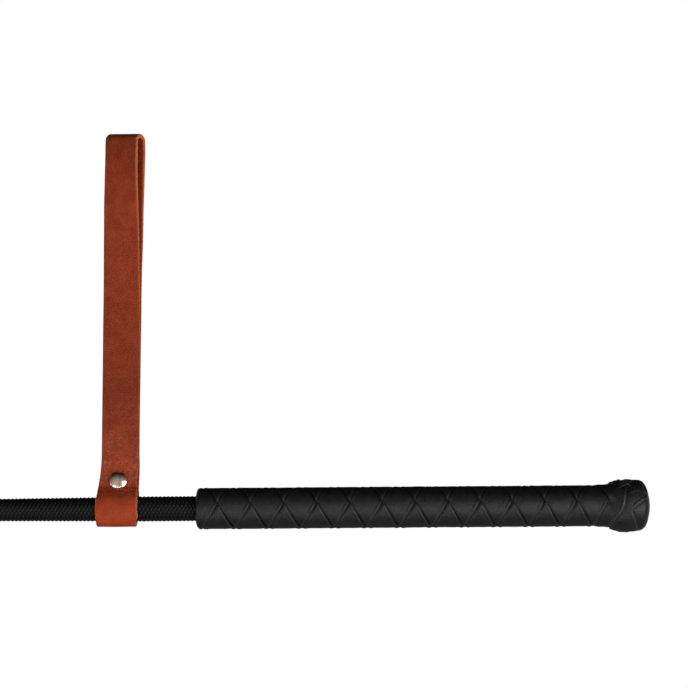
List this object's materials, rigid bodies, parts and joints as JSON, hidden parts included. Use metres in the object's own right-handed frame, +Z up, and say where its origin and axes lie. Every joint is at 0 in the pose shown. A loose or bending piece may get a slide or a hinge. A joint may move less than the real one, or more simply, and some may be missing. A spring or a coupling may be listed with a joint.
{
  "type": "riding crop",
  "caption": "Slim tapered riding crop with a plaited leather grip, rounded knob, riveted wrist strap that turns on the braided shaft, and a flexible leather keeper at the tip.",
  "frame": {"origin": "on the shaft's axis, at the front edge of the plaited grip", "axes": "+X along the shaft from the tip towards the knob; +Z up, the way the wrist strap stands; +Y away from the viewer, the side without the rivet's front cap"},
  "size_m": [0.6497, 0.0259, 0.1829],
  "materials": {
    "glass_fibre": "resin-bonded glass fibre, satin",
    "linen_tape": "spiral-wound linen tape",
    "black_cord": "tight braided polyester cord, slight sheen",
    "tip_plastic": "matt",
    "turned_wood": "plain turned beech",
    "padding_felt": "dense felt",
    "collar_plastic": "matt",
    "waxed_thread": "waxed twisted thread",
    "steel": "plain",
    "black_leather": "fine grain, semi-matt",
    "brown_leather": "reddish brown grain side, paler fibrous cut edges, dark suede flesh side",
    "nickel": "polished nickel plate",
    "pale_thread": "waxed linen thread"
  },
  "bodies": {
    "crop": {"core_rod": "glass_fibre", "under_wrap": "linen_tape", "braid_sleeve": "black_cord", "tip_cap": "tip_plastic", "grip_tube": "turned_wood", "grip_padding": "padding_felt", "front_collar": "collar_plastic", "front_binding": "waxed_thread", "pommel_core": "turned_wood", "pommel_nail": "steel", "pommel_cover": "black_leather", "plait_strand_1": "black_leather", "plait_strand_2": "black_leather", "plait_strand_3": "black_leather", "plait_strand_4": "black_leather", "keeper_tang": "brown_leather", "keeper_whipping": "waxed_thread"},
    "wrist_anchor": {"strap_wrap": "brown_leather", "rivet_front_cap": "nickel", "rivet_post": "nickel", "rivet_stud": "nickel", "rivet_back_cap": "nickel"},
    "hand_loop": {"strap_loop": "brown_leather"},
    "keeper": {"keeper_flap": "brown_leather", "keeper_stitch_upper": "pale_thread", "keeper_stitch_lower": "pale_thread"}
  },
  "joints": [
    {"name": "loop_turn", "type": "hinge", "parent": "crop", "child": "wrist_anchor", "pos_m": [-0.0365, 0, 0], "axis": [1, 0, 0], "continuous": true},
    {"name": "loop_fold", "type": "hinge", "parent": "wrist_anchor", "child": "hand_loop", "pos_m": [-0.0365, 0.0096, 0.01732], "axis": [1, 0, 0], "range_deg": [-80, 60], "stiffness_Nm_per_rad": 0.05},
    {"name": "keeper_flex", "type": "hinge", "parent": "crop", "child": "keeper", "pos_m": [-0.383, 0, 0], "axis": [0, 0, 1], "range_deg": [-60, 60], "stiffness_Nm_per_rad": 0.03}
  ]
}
